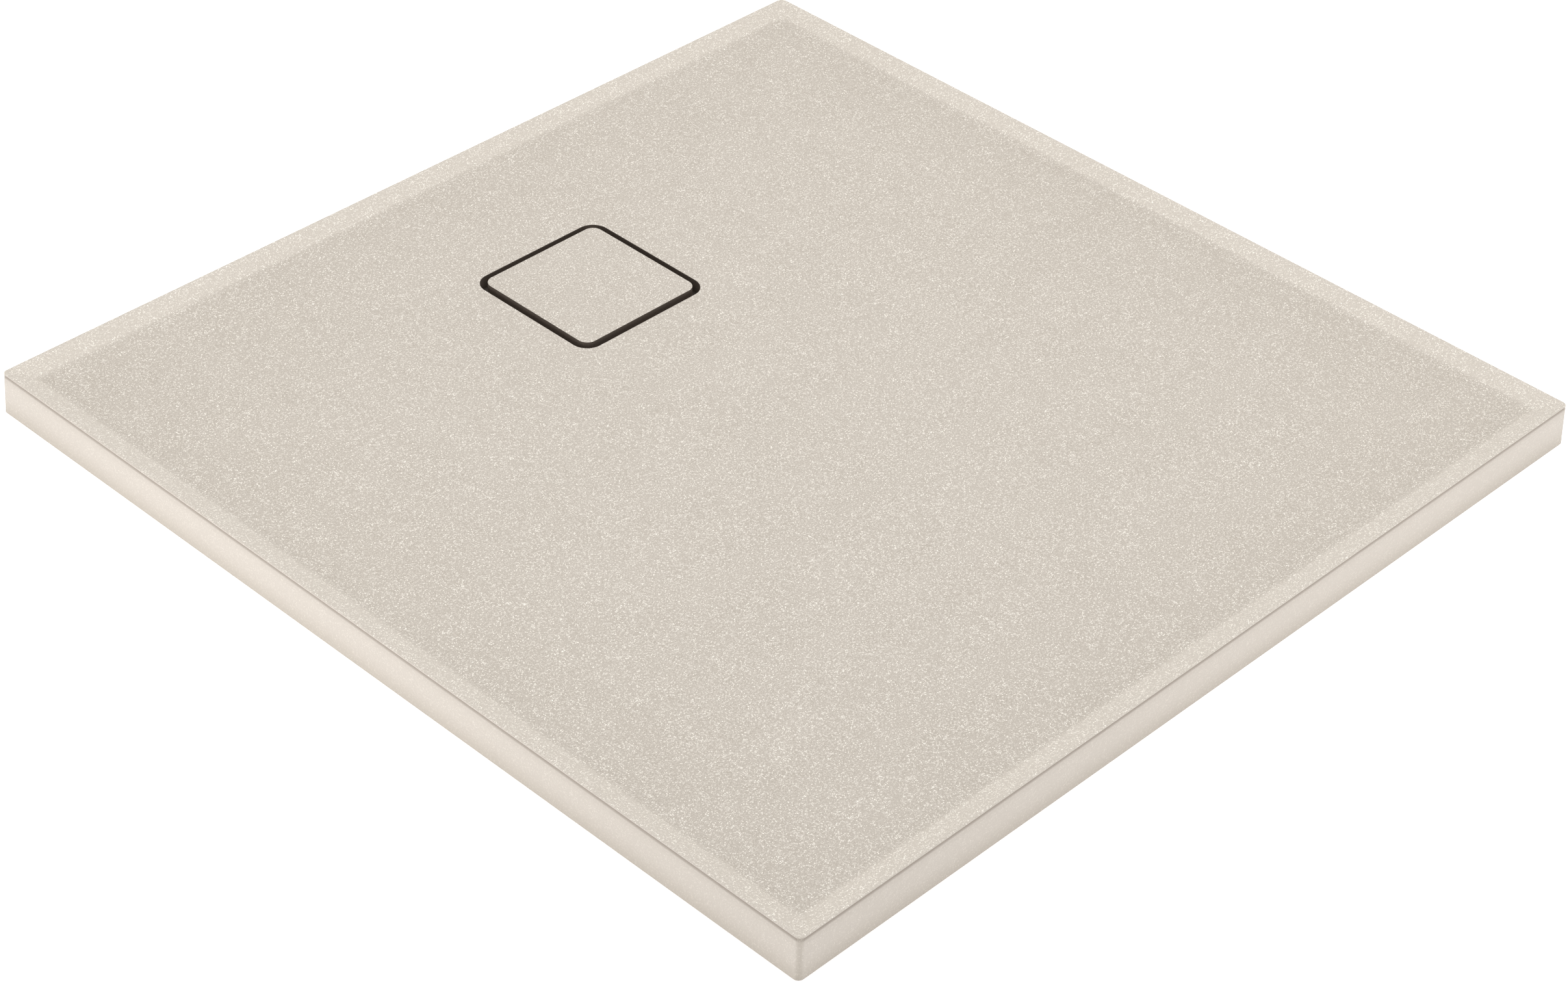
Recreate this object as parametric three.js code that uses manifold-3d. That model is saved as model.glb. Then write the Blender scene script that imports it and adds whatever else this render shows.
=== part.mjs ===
// A low square shower tray cast in granite composite. Its floor falls in four flat facets to a
// square recess, a cover of the same composite stands in that recess with a slot all round, and
// a trapped waste fitting is clamped through the hole underneath. Millimetres, +Z up. The
// origin is the centre of the tray's underside, and the drain lies towards +Y.
import * as THREE from 'three';
import { mergeVertices } from 'three/addons/utils/BufferGeometryUtils.js';
import Module from 'manifold-3d';

const wasm = await Module();
wasm.setup();

// ---- Tray ----
const TRAY_WIDTH = 900; // along X, at the underside
const TRAY_DEPTH = 900; // along Y, at the underside
const SIDE_DRAFT = 1.5; // how far each side leans in between the underside and the top
const CORNER_RADIUS = 5; // upright corners, at the underside
const EDGE_RADIUS = 3; // round along the outer top edge
const CREST_WIDTH = 1; // level land between that round and the rim's slope
const RIM_WIDTH = 22.5; // from the outer top edge to the start of the floor
const RIM_FALL = 6; // drop of the rim from crest to floor
const FLOOR_FALL = 10; // drop of the floor from rim to recess
const BASIN_CORNER_RADIUS = 2; // softens the four valleys between the floor's facets
const RECESS_DEPTH = 12.5;
const BASE_THICKNESS = 9.5; // composite left under the recess
const RECESS_SIZE = 141;
const RECESS_RADIUS = 15.5;
const DRAIN_TO_BACK = 214.5; // from the back of the tray to the centre of the drain
const WASTE_HOLE_RADIUS = 45;

// ---- Cover ----
const SLOT_WIDTH = 6.5; // open slot between the cover and the recess
const COVER_RADIUS = 9.5;
const COVER_THICKNESS = 8;
const COVER_STEP = 1.2; // how far its top stands above the floor at the recess
const COVER_EDGE_RADIUS = 0.6;
const PAD_RADIUS = 7;
const PAD_INSET = 13; // from the cover's sides to a pad's centre
const PAD_SOCKET_DEPTH = 1.5;
const PAD_CLEARANCE = 0.3;

// ---- Waste flange and its fixings ----
const FLANGE_LAP = 12; // how far the flange covers the composite round the hole
const FLANGE_THICKNESS = 2.2;
const UPPER_GASKET_THICKNESS = 1.5;
const LOWER_GASKET_THICKNESS = 2;
const GASKET_INSET = 1; // how far a gasket's edges stay behind the parts that clamp it
const SEAT_CLEARANCE = 1;
const NECK_CLEARANCE = 1.5; // between the flange's neck and the hole
const NECK_REACH = 6; // how far the neck goes down inside the trap body
const SCREW_INSET = 4; // from the neck's outside to a screw's axis
const SCREW_COUNT = 4;
const SCREW_RADIUS = 2;
const SCREW_HEAD_RADIUS = 3.8;
const SCREW_HEAD_HEIGHT = 2.2;
const SCREW_GRIP = 14; // screw length inside its boss
const SOCKET_RADIUS = 1.25; // hexagon socket in each head
const SOCKET_DEPTH = 1.4;
const BOSS_RADIUS = 4.8;
const FIT_CLEARANCE = 0.3;
const THROAT_WALL = 5; // from a screw's axis to the throat
const LEDGE_WIDTH = 3; // carries the removable insert
const LEDGE_THICKNESS = 2.5;

// ---- Removable insert: dip tube and cup ----
const COLLAR_HEIGHT = 7;
const COLLAR_WALL = 3.2;
const INSERT_WALL = 2;
const SEAL_RADIUS = 1.15; // section of the ring seal
const WEIR_GAP = 10.5; // from the cup's lip up to the ledge
const WATER_SEAL = 50; // depth of water that holds back the drain's air
const DIP_CLEARANCE = 10; // from the end of the dip tube to the cup's floor
const WATERWAY = 6.7; // between the dip tube and the cup
const CUP_CLEARANCE = 1; // between the cup and the ledge it is drawn up through
const FIN_COUNT = 3;
const FIN_HEIGHT = 20;
const BAR_WIDTH = 4; // bar that a finger pulls the insert up by
const BAR_HEIGHT = 3;

// ---- Hair strainer ----
const STRAINER_SUNK = 1.5; // below the top of the flange
const STRAINER_THICKNESS = 2;
const STRAINER_CLEARANCE = 0.7;
const STRAINER_HOLE_RADIUS = 2.5;
const STRAINER_PITCH = 8; // between its holes
const STRAINER_MARGIN = 1.5; // from the outer row of holes to the skirt
const KNOB_RADIUS = 5;
const KNOB_HEIGHT = 3;

// ---- Trap body and outlet ----
const BODY_WALL = 3;
const BODY_FLANGE_THICKNESS = 3.5;
const OUTLET_BORE_RADIUS = 18;
const OUTLET_RISE = 4; // from the body's floor to the bottom of the outlet's bore
const OUTLET_LENGTH = 34;
const PIPE_SOCKET_RADIUS = 20.3; // takes a 40 mm waste pipe
const PIPE_SOCKET_DEPTH = 24;
const MOUTH_CHAMFER = 2;
const THREAD_RADIUS = 23.3;
const NUT_LENGTH = 23;
const NUT_OVERLAP = 14; // how far the nut is run onto the outlet
const NUT_WALL = 4.4;
const NUT_LIP = 2.3;
const NUT_RIBS = 12;
const NUT_RIB_HEIGHT = 0.8;
const OUTLET_SEAL_LENGTH = 5;
const OUTLET_WASHER_THICKNESS = 1.1;

// ---- Fineness of the round shapes ----
const CORNER_STEPS = 6;
const EDGE_STEPS = 4;
const BIG_ROUND = 48;
const SMALL_ROUND = 16;

// ---- Heights and places that follow from the sizes above ----
const floorLowZ = BASE_THICKNESS + RECESS_DEPTH;
const floorHighZ = floorLowZ + FLOOR_FALL;
const trayTopZ = floorHighZ + RIM_FALL;
const drainY = TRAY_DEPTH / 2 - DRAIN_TO_BACK;

const coverSize = RECESS_SIZE - 2 * SLOT_WIDTH;
const coverTopZ = floorLowZ + COVER_STEP;
const coverBottomZ = coverTopZ - COVER_THICKNESS;

const flangeTopZ = BASE_THICKNESS;
const gasketTopZ = flangeTopZ - FLANGE_THICKNESS;
const seatZ = gasketTopZ - UPPER_GASKET_THICKNESS;
const flangeRadius = WASTE_HOLE_RADIUS + FLANGE_LAP;
const neckRadius = WASTE_HOLE_RADIUS - NECK_CLEARANCE;
const screwCircle = neckRadius - SCREW_INSET;
const throatRadius = screwCircle - THROAT_WALL;
const ledgeRadius = throatRadius - LEDGE_WIDTH;

const bodyTopZ = -LOWER_GASKET_THICKNESS;
const neckEndZ = bodyTopZ - NECK_REACH;
const ledgeTopZ = neckEndZ + LEDGE_THICKNESS;
const collarTopZ = ledgeTopZ + COLLAR_HEIGHT;
const collarRadius = throatRadius - FIT_CLEARANCE;

const weirZ = ledgeTopZ - WEIR_GAP;
const dipEndZ = weirZ - WATER_SEAL;
const cupFloorZ = dipEndZ - DIP_CLEARANCE;
const bodyFloorZ = cupFloorZ - INSERT_WALL;
const cupRadius = ledgeRadius - CUP_CLEARANCE;
const cupInnerRadius = cupRadius - INSERT_WALL;
const dipRadius = cupInnerRadius - WATERWAY;

const bodyInnerRadius = neckRadius + FIT_CLEARANCE;
const bodyOuterRadius = bodyInnerRadius + BODY_WALL;
const bossTopZ = neckEndZ - FIT_CLEARANCE;
const bossBottomZ = bossTopZ - SCREW_GRIP - INSERT_WALL;
const outletZ = bodyFloorZ + OUTLET_RISE + OUTLET_BORE_RADIUS;
const outletEndY = bodyOuterRadius + OUTLET_LENGTH;

// ---- Shape helpers ----

// A mesh as a solid that can be joined and cut.
function solidFrom(geometry) {
  const bare = geometry.clone();
  bare.deleteAttribute('normal');
  bare.deleteAttribute('uv');
  const merged = mergeVertices(bare, 1e-3);
  return new wasm.Manifold(new wasm.Mesh({
    numProp: 3,
    vertProperties: merged.attributes.position.array,
    triVerts: new Uint32Array(merged.index.array),
  }));
}

function geometryFrom(solid) {
  const { vertProperties, triVerts } = solid.getMesh();
  const geometry = new THREE.BufferGeometry()
    .setAttribute('position', new THREE.BufferAttribute(vertProperties, 3))
    .setIndex(new THREE.BufferAttribute(triVerts, 1))
    .toNonIndexed();
  geometry.computeVertexNormals();
  return geometry;
}

function join(...shapes) {
  return geometryFrom(shapes.map(solidFrom).reduce((whole, shape) => whole.add(shape)));
}

function cut(shape, ...tools) {
  return geometryFrom(tools.map(solidFrom).reduce((rest, tool) => rest.subtract(tool), solidFrom(shape)));
}

// The corners of a rectangle with rounded corners, anticlockwise.
function roundedRectangle(width, depth, radius, centreY = 0) {
  const signs = [[1, 1], [-1, 1], [-1, -1], [1, -1]];
  return signs.flatMap(([sx, sy], corner) => Array.from({ length: CORNER_STEPS + 1 }, (_, step) => {
    const angle = (corner + step / CORNER_STEPS) * Math.PI / 2;
    return new THREE.Vector2(
      sx * (width / 2 - radius) + radius * Math.cos(angle),
      centreY + sy * (depth / 2 - radius) + radius * Math.sin(angle),
    );
  }));
}

// A closed solid through flat outlines stacked upwards, all with the same number of corners.
function loft(sections) {
  const count = sections[0].outline.length;
  const positions = sections.flatMap(({ outline, z }) => outline.flatMap((p) => [p.x, p.y, z]));
  const index = [];
  for (let section = 0; section + 1 < sections.length; section += 1) {
    for (let corner = 0; corner < count; corner += 1) {
      const a = section * count + corner;
      const b = section * count + (corner + 1) % count;
      index.push(a, b, b + count, a, b + count, a + count);
    }
  }
  const top = (sections.length - 1) * count;
  for (const [a, b, c] of THREE.ShapeUtils.triangulateShape(sections[0].outline, [])) {
    index.push(a, c, b, top + a, top + b, top + c);
  }
  return new THREE.BufferGeometry()
    .setAttribute('position', new THREE.Float32BufferAttribute(positions, 3))
    .setIndex(index);
}

// Sections of a quarter-round edge that ends a block of the given size at height topZ.
function roundedEdge(width, depth, cornerRadius, edgeRadius, topZ) {
  return Array.from({ length: EDGE_STEPS + 1 }, (_, step) => {
    const angle = step / EDGE_STEPS * Math.PI / 2;
    const inset = edgeRadius * (1 - Math.cos(angle));
    return {
      outline: roundedRectangle(width - 2 * inset, depth - 2 * inset, cornerRadius - inset),
      z: topZ - edgeRadius * (1 - Math.sin(angle)),
    };
  });
}

// A profile of [radius, height] pairs turned about Z.
function turned(profile, segments = BIG_ROUND) {
  const points = profile.map(([radius, z]) => new THREE.Vector2(radius, z));
  return new THREE.LatheGeometry(points, segments).rotateX(Math.PI / 2);
}

function rod(radius, lowZ, highZ, segments = BIG_ROUND) {
  return turned([[0, lowZ], [radius, lowZ], [radius, highZ], [0, highZ]], segments);
}

function ring(innerRadius, outerRadius, lowZ, highZ, segments = BIG_ROUND) {
  const corners = [[innerRadius, lowZ], [outerRadius, lowZ], [outerRadius, highZ], [innerRadius, highZ]];
  return turned([...corners, corners[0]], segments);
}

function box(lowX, highX, lowY, highY, lowZ, highZ) {
  return new THREE.BoxGeometry(highX - lowX, highY - lowY, highZ - lowZ)
    .translate((lowX + highX) / 2, (lowY + highY) / 2, (lowZ + highZ) / 2);
}

// Points spread evenly round a circle, the first at startAngle.
function spread(count, radius, startAngle = 0) {
  return Array.from({ length: count }, (_, i) => {
    const angle = startAngle + i / count * 2 * Math.PI;
    return new THREE.Vector2(radius * Math.cos(angle), radius * Math.sin(angle));
  });
}

const screwPlaces = spread(SCREW_COUNT, screwCircle, Math.PI / SCREW_COUNT);

// ---- Tray: one casting ----
function shapeTray() {
  const topWidth = TRAY_WIDTH - 2 * SIDE_DRAFT;
  const topDepth = TRAY_DEPTH - 2 * SIDE_DRAFT;
  const block = loft([
    { outline: roundedRectangle(TRAY_WIDTH, TRAY_DEPTH, CORNER_RADIUS), z: 0 },
    ...roundedEdge(topWidth, topDepth, CORNER_RADIUS, EDGE_RADIUS, trayTopZ),
  ]);

  // The basin runs past the top with the rim's own slope, so that the crest is a clean line.
  const crestInset = EDGE_RADIUS + CREST_WIDTH;
  const slopeRun = RIM_WIDTH - crestInset;
  const overrun = 0.4;
  const basinOutline = (inset) => roundedRectangle(
    topWidth - 2 * inset, topDepth - 2 * inset, BASIN_CORNER_RADIUS,
  );
  const basin = loft([
    { outline: roundedRectangle(RECESS_SIZE, RECESS_SIZE, BASIN_CORNER_RADIUS, drainY), z: floorLowZ },
    { outline: basinOutline(RIM_WIDTH), z: floorHighZ },
    { outline: basinOutline(crestInset - overrun * slopeRun), z: trayTopZ + overrun * RIM_FALL },
  ]);

  const recess = loft([flangeTopZ, floorHighZ].map((z) => ({
    outline: roundedRectangle(RECESS_SIZE, RECESS_SIZE, RECESS_RADIUS, drainY),
    z,
  })));
  const seat = rod(flangeRadius + SEAT_CLEARANCE, seatZ, floorLowZ).translate(0, drainY, 0);
  const hole = rod(WASTE_HOLE_RADIUS, -1, floorLowZ).translate(0, drainY, 0);
  return cut(block, basin, recess, seat, hole);
}

// ---- Cover and its pads, about the drain's axis ----
const padOffset = coverSize / 2 - PAD_INSET;
const padPlaces = [[1, 1], [-1, 1], [-1, -1], [1, -1]].map(([sx, sy]) => [sx * padOffset, sy * padOffset]);
const padTopZ = coverBottomZ + PAD_SOCKET_DEPTH;

function shapeCover() {
  const plate = loft([
    { outline: roundedRectangle(coverSize, coverSize, COVER_RADIUS), z: coverBottomZ },
    ...roundedEdge(coverSize, coverSize, COVER_RADIUS, COVER_EDGE_RADIUS, coverTopZ),
  ]);
  const sockets = padPlaces.map(([x, y]) => (
    rod(PAD_RADIUS + PAD_CLEARANCE, coverBottomZ - 1, padTopZ, SMALL_ROUND).translate(x, y, 0)
  ));
  return cut(plate, ...sockets);
}

// A pad stands in its socket and flares a little where it meets the recess.
function shapePad() {
  const foot = 1;
  const flare = 0.6;
  return turned([
    [0, flangeTopZ],
    [PAD_RADIUS + flare, flangeTopZ],
    [PAD_RADIUS + flare, flangeTopZ + foot],
    [PAD_RADIUS, flangeTopZ + foot + flare],
    [PAD_RADIUS, padTopZ],
    [0, padTopZ],
  ], SMALL_ROUND);
}

// ---- Waste flange: clamping ring, neck and the ledge for the insert ----
function shapeFlange() {
  const blank = turned([
    [ledgeRadius, neckEndZ],
    [neckRadius, neckEndZ],
    [neckRadius, gasketTopZ],
    [flangeRadius, gasketTopZ],
    [flangeRadius, flangeTopZ - 0.8],
    [flangeRadius - 2.5, flangeTopZ],
    [throatRadius, flangeTopZ],
    [throatRadius, ledgeTopZ],
    [ledgeRadius, ledgeTopZ],
    [ledgeRadius, neckEndZ],
  ]);
  const holeRadius = SCREW_RADIUS + FIT_CLEARANCE;
  const holes = screwPlaces.map(({ x, y }) => turned([
    [0, neckEndZ - 1],
    [holeRadius, neckEndZ - 1],
    [holeRadius, flangeTopZ - SCREW_HEAD_HEIGHT],
    [SCREW_HEAD_RADIUS + FIT_CLEARANCE, flangeTopZ],
    [SCREW_HEAD_RADIUS + FIT_CLEARANCE, flangeTopZ + 1],
    [0, flangeTopZ + 1],
  ], SMALL_ROUND).translate(x, y, 0));
  return cut(blank, ...holes);
}

// A countersunk screw about its own axis, with a hexagon socket.
function shapeScrew() {
  const blank = turned([
    [0, bossTopZ - SCREW_GRIP],
    [SCREW_RADIUS - 0.6, bossTopZ - SCREW_GRIP],
    [SCREW_RADIUS, bossTopZ - SCREW_GRIP + 0.6],
    [SCREW_RADIUS, flangeTopZ - SCREW_HEAD_HEIGHT],
    [SCREW_HEAD_RADIUS, flangeTopZ - 0.2],
    [SCREW_HEAD_RADIUS, flangeTopZ],
    [0, flangeTopZ],
  ], SMALL_ROUND);
  return cut(blank, rod(SOCKET_RADIUS, flangeTopZ - SOCKET_DEPTH, flangeTopZ + 1, 6));
}

// ---- Hair strainer: a sieve plate on a skirt, with a knob to lift it by ----
const strainerTopZ = flangeTopZ - STRAINER_SUNK;

function shapeStrainer() {
  const outerRadius = throatRadius - STRAINER_CLEARANCE;
  const plateZ = strainerTopZ - STRAINER_THICKNESS;
  const skirtRadius = outerRadius - INSERT_WALL;
  const blank = turned([
    [0, plateZ],
    [skirtRadius, plateZ],
    [skirtRadius, collarTopZ],
    [outerRadius, collarTopZ],
    [outerRadius, strainerTopZ - 0.5],
    [outerRadius - 0.5, strainerTopZ],
    [KNOB_RADIUS * 0.6, strainerTopZ],
    [KNOB_RADIUS * 0.6, strainerTopZ + KNOB_HEIGHT * 0.5],
    [KNOB_RADIUS, strainerTopZ + KNOB_HEIGHT * 0.7],
    [KNOB_RADIUS, strainerTopZ + KNOB_HEIGHT],
    [0, strainerTopZ + KNOB_HEIGHT],
  ]);
  const firstRow = KNOB_RADIUS + STRAINER_PITCH - STRAINER_MARGIN;
  const lastRow = skirtRadius - STRAINER_HOLE_RADIUS - STRAINER_MARGIN;
  const gaps = Math.max(1, Math.floor((lastRow - firstRow) / STRAINER_PITCH));
  const holes = Array.from({ length: gaps + 1 }, (_, row) => {
    const radius = firstRow + row / gaps * (lastRow - firstRow);
    return spread(2 * Math.round(Math.PI * radius / STRAINER_PITCH), radius);
  });
  return cut(blank, ...holes.flat().map(({ x, y }) => (
    rod(STRAINER_HOLE_RADIUS, plateZ - 1, strainerTopZ + 0.2, 8).translate(x, y, 0)
  )));
}

// ---- Removable insert ----
const grooveZ = (ledgeTopZ + collarTopZ) / 2;
const sealCentreRadius = throatRadius - SEAL_RADIUS - 0.05;

// A pot with a ring groove, the tube that dips into the cup's water, and three centring fins.
function shapeDipTube() {
  const tubeBore = dipRadius - INSERT_WALL;
  const potFloorZ = ledgeTopZ + LEDGE_THICKNESS;
  const grooveHalf = SEAL_RADIUS + 0.15;
  const grooveRadius = collarRadius - 2 * SEAL_RADIUS;
  const pot = turned([
    [tubeBore, dipEndZ],
    [dipRadius, dipEndZ],
    [dipRadius, ledgeTopZ],
    [collarRadius, ledgeTopZ],
    [collarRadius, grooveZ - grooveHalf],
    [grooveRadius, grooveZ - grooveHalf],
    [grooveRadius, grooveZ + grooveHalf],
    [collarRadius, grooveZ + grooveHalf],
    [collarRadius, collarTopZ],
    [collarRadius - COLLAR_WALL, collarTopZ],
    [collarRadius - COLLAR_WALL, potFloorZ + 1],
    [tubeBore + 2, potFloorZ - 0.5],
    [tubeBore, potFloorZ - 2],
    [tubeBore, dipEndZ],
  ]);
  const barEnd = (grooveRadius + collarRadius - COLLAR_WALL) / 2;
  const bar = box(-barEnd, barEnd, -BAR_WIDTH / 2, BAR_WIDTH / 2, collarTopZ - BAR_HEIGHT, collarTopZ);
  const finLowZ = dipEndZ + 4;
  const finStart = dipRadius - INSERT_WALL / 2;
  const fins = Array.from({ length: FIN_COUNT }, (_, i) => (
    box(finStart, cupInnerRadius - FIT_CLEARANCE, -1, 1, finLowZ, finLowZ + FIN_HEIGHT)
      .rotateZ((i + 0.25) / FIN_COUNT * 2 * Math.PI)
  ));
  return join(pot, bar, ...fins);
}

function shapeCup() {
  return turned([
    [0, bodyFloorZ],
    [cupRadius - 1.5, bodyFloorZ],
    [cupRadius, bodyFloorZ + 1.5],
    [cupRadius, weirZ],
    [cupInnerRadius, weirZ],
    [cupInnerRadius, cupFloorZ + 1.5],
    [cupInnerRadius - 1.5, cupFloorZ],
    [0, cupFloorZ],
  ]);
}

// ---- Trap body, with its outlet towards +Y ----
function alongY(geometry) {
  return geometry.rotateX(-Math.PI / 2).translate(0, 0, outletZ);
}

function shapeBody() {
  const shell = turned([
    [0, bodyFloorZ - BODY_WALL],
    [bodyOuterRadius - 3, bodyFloorZ - BODY_WALL],
    [bodyOuterRadius, bodyFloorZ],
    [bodyOuterRadius, bodyTopZ - BODY_FLANGE_THICKNESS],
    [flangeRadius, bodyTopZ - BODY_FLANGE_THICKNESS],
    [flangeRadius, bodyTopZ],
    [0, bodyTopZ],
  ]);
  const cavity = rod(bodyInnerRadius, bodyFloorZ, bodyTopZ + 1);
  const outlet = alongY(rod(THREAD_RADIUS, bodyInnerRadius - 10, outletEndY, 32));
  const bore = alongY(turned([
    [0, bodyInnerRadius - 12],
    [OUTLET_BORE_RADIUS, bodyInnerRadius - 12],
    [OUTLET_BORE_RADIUS, outletEndY - PIPE_SOCKET_DEPTH],
    [PIPE_SOCKET_RADIUS, outletEndY - PIPE_SOCKET_DEPTH],
    [PIPE_SOCKET_RADIUS, outletEndY - MOUTH_CHAMFER],
    [PIPE_SOCKET_RADIUS + MOUTH_CHAMFER, outletEndY],
    [PIPE_SOCKET_RADIUS + MOUTH_CHAMFER, outletEndY + 1],
    [0, outletEndY + 1],
  ], 32));
  const hollow = cut(join(shell, outlet), cavity, bore);
  const bosses = screwPlaces.map(({ x, y }) => (
    rod(BOSS_RADIUS, bossBottomZ, bossTopZ, SMALL_ROUND).translate(x, y, 0)
  ));
  const pilots = screwPlaces.map(({ x, y }) => (
    rod(SCREW_RADIUS + FIT_CLEARANCE, bossTopZ - SCREW_GRIP - 1, bossTopZ + 1, SMALL_ROUND).translate(x, y, 0)
  ));
  return cut(join(hollow, ...bosses), ...pilots);
}

// ---- Outlet coupling, along its own Z from the mouth of the outlet ----
const nutBore = THREAD_RADIUS + FIT_CLEARANCE;
const nutEnd = NUT_LENGTH - NUT_OVERLAP;

function shapeNut() {
  const nutRadius = nutBore + NUT_WALL;
  const outline = Array.from({ length: NUT_RIBS * 6 }, (_, i) => {
    const angle = i / (NUT_RIBS * 6) * 2 * Math.PI;
    const radius = nutRadius + NUT_RIB_HEIGHT * Math.cos(NUT_RIBS * angle);
    return new THREE.Vector2(radius * Math.cos(angle), radius * Math.sin(angle));
  });
  const blank = loft([{ outline, z: -NUT_OVERLAP }, { outline, z: nutEnd }]);
  const bore = rod(nutBore, -NUT_OVERLAP - 1, nutEnd - NUT_LIP, 32);
  const eye = rod(PIPE_SOCKET_RADIUS + FIT_CLEARANCE, 0, nutEnd + 1, 32);
  return cut(blank, bore, eye);
}

// A tapered ring whose nose sits in the chamfered mouth of the outlet.
function shapeOutletSeal() {
  const innerRadius = PIPE_SOCKET_RADIUS + FIT_CLEARANCE;
  const outerRadius = nutBore - 0.7;
  const corners = [
    [innerRadius, -0.8],
    [innerRadius + 0.3, -0.8],
    [outerRadius, outerRadius - innerRadius - 1.1],
    [outerRadius, OUTLET_SEAL_LENGTH],
    [innerRadius, OUTLET_SEAL_LENGTH],
  ];
  return turned([...corners, corners[0]], 32);
}

function shapeOutletWasher() {
  const low = OUTLET_SEAL_LENGTH + FIT_CLEARANCE;
  return ring(PIPE_SOCKET_RADIUS + 0.4, nutBore - 0.4, low, low + OUTLET_WASHER_THICKNESS, 32);
}

// ---- Materials ----
const finish = (color, roughness, metalness = 0) => (
  new THREE.MeshStandardMaterial({ color, roughness, metalness })
);
const graniteComposite = () => finish('#d8d0c5', 0.7);
const polypropylene = () => finish('#e4e3de', 0.45);
const blackRubber = () => finish('#1d1d1d', 0.8);
const stainlessSteel = () => finish('#c4c4c1', 0.3, 1);
const whiteNylon = () => finish('#f0efe9', 0.5);

// ---- Assembly ----
function part(name, geometry, material) {
  const mesh = new THREE.Mesh(geometry, material);
  mesh.name = name;
  return mesh;
}

function placed(mesh, x, y) {
  mesh.position.set(x, y, 0);
  return mesh;
}

const cover = new THREE.Group();
cover.add(part('drain_cover', shapeCover(), graniteComposite()));
padPlaces.forEach(([x, y], i) => {
  cover.add(placed(part(`cover_pad_${i + 1}`, shapePad(), blackRubber()), x, y));
});

const insert = new THREE.Group();
insert.add(
  part('dip_tube', shapeDipTube(), polypropylene()),
  part(
    'dip_tube_seal',
    new THREE.TorusGeometry(sealCentreRadius, SEAL_RADIUS, 8, BIG_ROUND).translate(0, 0, grooveZ),
    blackRubber(),
  ),
  part('trap_cup', shapeCup(), polypropylene()),
);

const coupling = new THREE.Group();
coupling.add(
  part('outlet_nut', shapeNut(), polypropylene()),
  part('outlet_seal', shapeOutletSeal(), blackRubber()),
  part('outlet_washer', shapeOutletWasher(), whiteNylon()),
);
coupling.position.set(0, outletEndY, outletZ);
coupling.rotation.x = -Math.PI / 2;

const gasketInner = WASTE_HOLE_RADIUS + GASKET_INSET;
const gasketOuter = flangeRadius - GASKET_INSET;
const waste = new THREE.Group();
waste.add(
  part('upper_gasket', ring(gasketInner, gasketOuter, seatZ, gasketTopZ), blackRubber()),
  part('waste_flange', shapeFlange(), polypropylene()),
  part('lower_gasket', ring(gasketInner, gasketOuter, bodyTopZ, 0), blackRubber()),
  part('trap_body', shapeBody(), polypropylene()),
  part('hair_strainer', shapeStrainer(), stainlessSteel()),
  insert,
  coupling,
);
screwPlaces.forEach(({ x, y }, i) => {
  waste.add(placed(part(`flange_screw_${i + 1}`, shapeScrew(), stainlessSteel()), x, y));
});

const drain = new THREE.Group();
drain.add(cover, waste);
drain.position.y = drainY;

const showerTray = new THREE.Group();
showerTray.add(part('shower_tray', shapeTray(), graniteComposite()), drain);

export default showerTray;
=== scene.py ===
import math

import bmesh
import bpy
from bpy.props import FloatProperty, FloatVectorProperty, IntProperty, PointerProperty
from mathutils import Matrix, Vector


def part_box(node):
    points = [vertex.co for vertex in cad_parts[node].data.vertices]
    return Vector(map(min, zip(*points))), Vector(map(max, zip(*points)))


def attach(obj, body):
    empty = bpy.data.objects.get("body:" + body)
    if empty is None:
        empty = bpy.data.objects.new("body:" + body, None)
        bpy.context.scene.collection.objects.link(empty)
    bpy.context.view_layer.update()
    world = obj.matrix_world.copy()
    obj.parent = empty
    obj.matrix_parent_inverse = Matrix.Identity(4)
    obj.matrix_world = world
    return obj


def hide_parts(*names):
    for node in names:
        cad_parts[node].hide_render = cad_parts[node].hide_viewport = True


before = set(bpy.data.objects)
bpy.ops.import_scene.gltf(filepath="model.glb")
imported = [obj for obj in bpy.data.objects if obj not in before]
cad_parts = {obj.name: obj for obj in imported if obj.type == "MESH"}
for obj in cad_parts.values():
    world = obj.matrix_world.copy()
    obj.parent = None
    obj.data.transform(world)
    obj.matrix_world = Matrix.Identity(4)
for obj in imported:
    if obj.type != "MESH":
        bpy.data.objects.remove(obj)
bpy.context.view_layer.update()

bl_info = {
    "name": "Shower Tray Builder",
    "version": (1, 0, 0),
    "blender": (4, 5, 0),
    "location": "3D View > Sidebar > Shower Tray",
    "description": "Builds a low granite composite shower tray with its drain cover and waste trap",
    "category": "Add Mesh",
}

MM = 0.001
TRAY_LOW, TRAY_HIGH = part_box("shower_tray")
COVER_LOW, COVER_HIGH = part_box("drain_cover")
FLANGE_LOW, FLANGE_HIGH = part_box("waste_flange")
DRAIN = Vector(((COVER_LOW.x + COVER_HIGH.x) / 2, (COVER_LOW.y + COVER_HIGH.y) / 2, 0))


# ---- Sizes and colours that can be changed ----

def length(name, description, millimetres):
    """A length that the sidebar shows."""
    return FloatProperty(
        name=name, description=description, default=millimetres * MM, subtype="DISTANCE", unit="LENGTH")


def turn(name, description, degrees):
    """An angle that the sidebar shows."""
    return FloatProperty(
        name=name, description=description, default=math.radians(degrees), subtype="ANGLE",
        unit="ROTATION")


def tint(name, description, hex_code):
    """A colour that the sidebar shows, kept as sRGB values."""
    values = [int(hex_code[i:i + 2], 16) / 255 for i in (1, 3, 5)]
    return FloatVectorProperty(
        name=name, description=description, default=values, size=3, min=0, max=1,
        subtype="COLOR_GAMMA")


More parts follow.
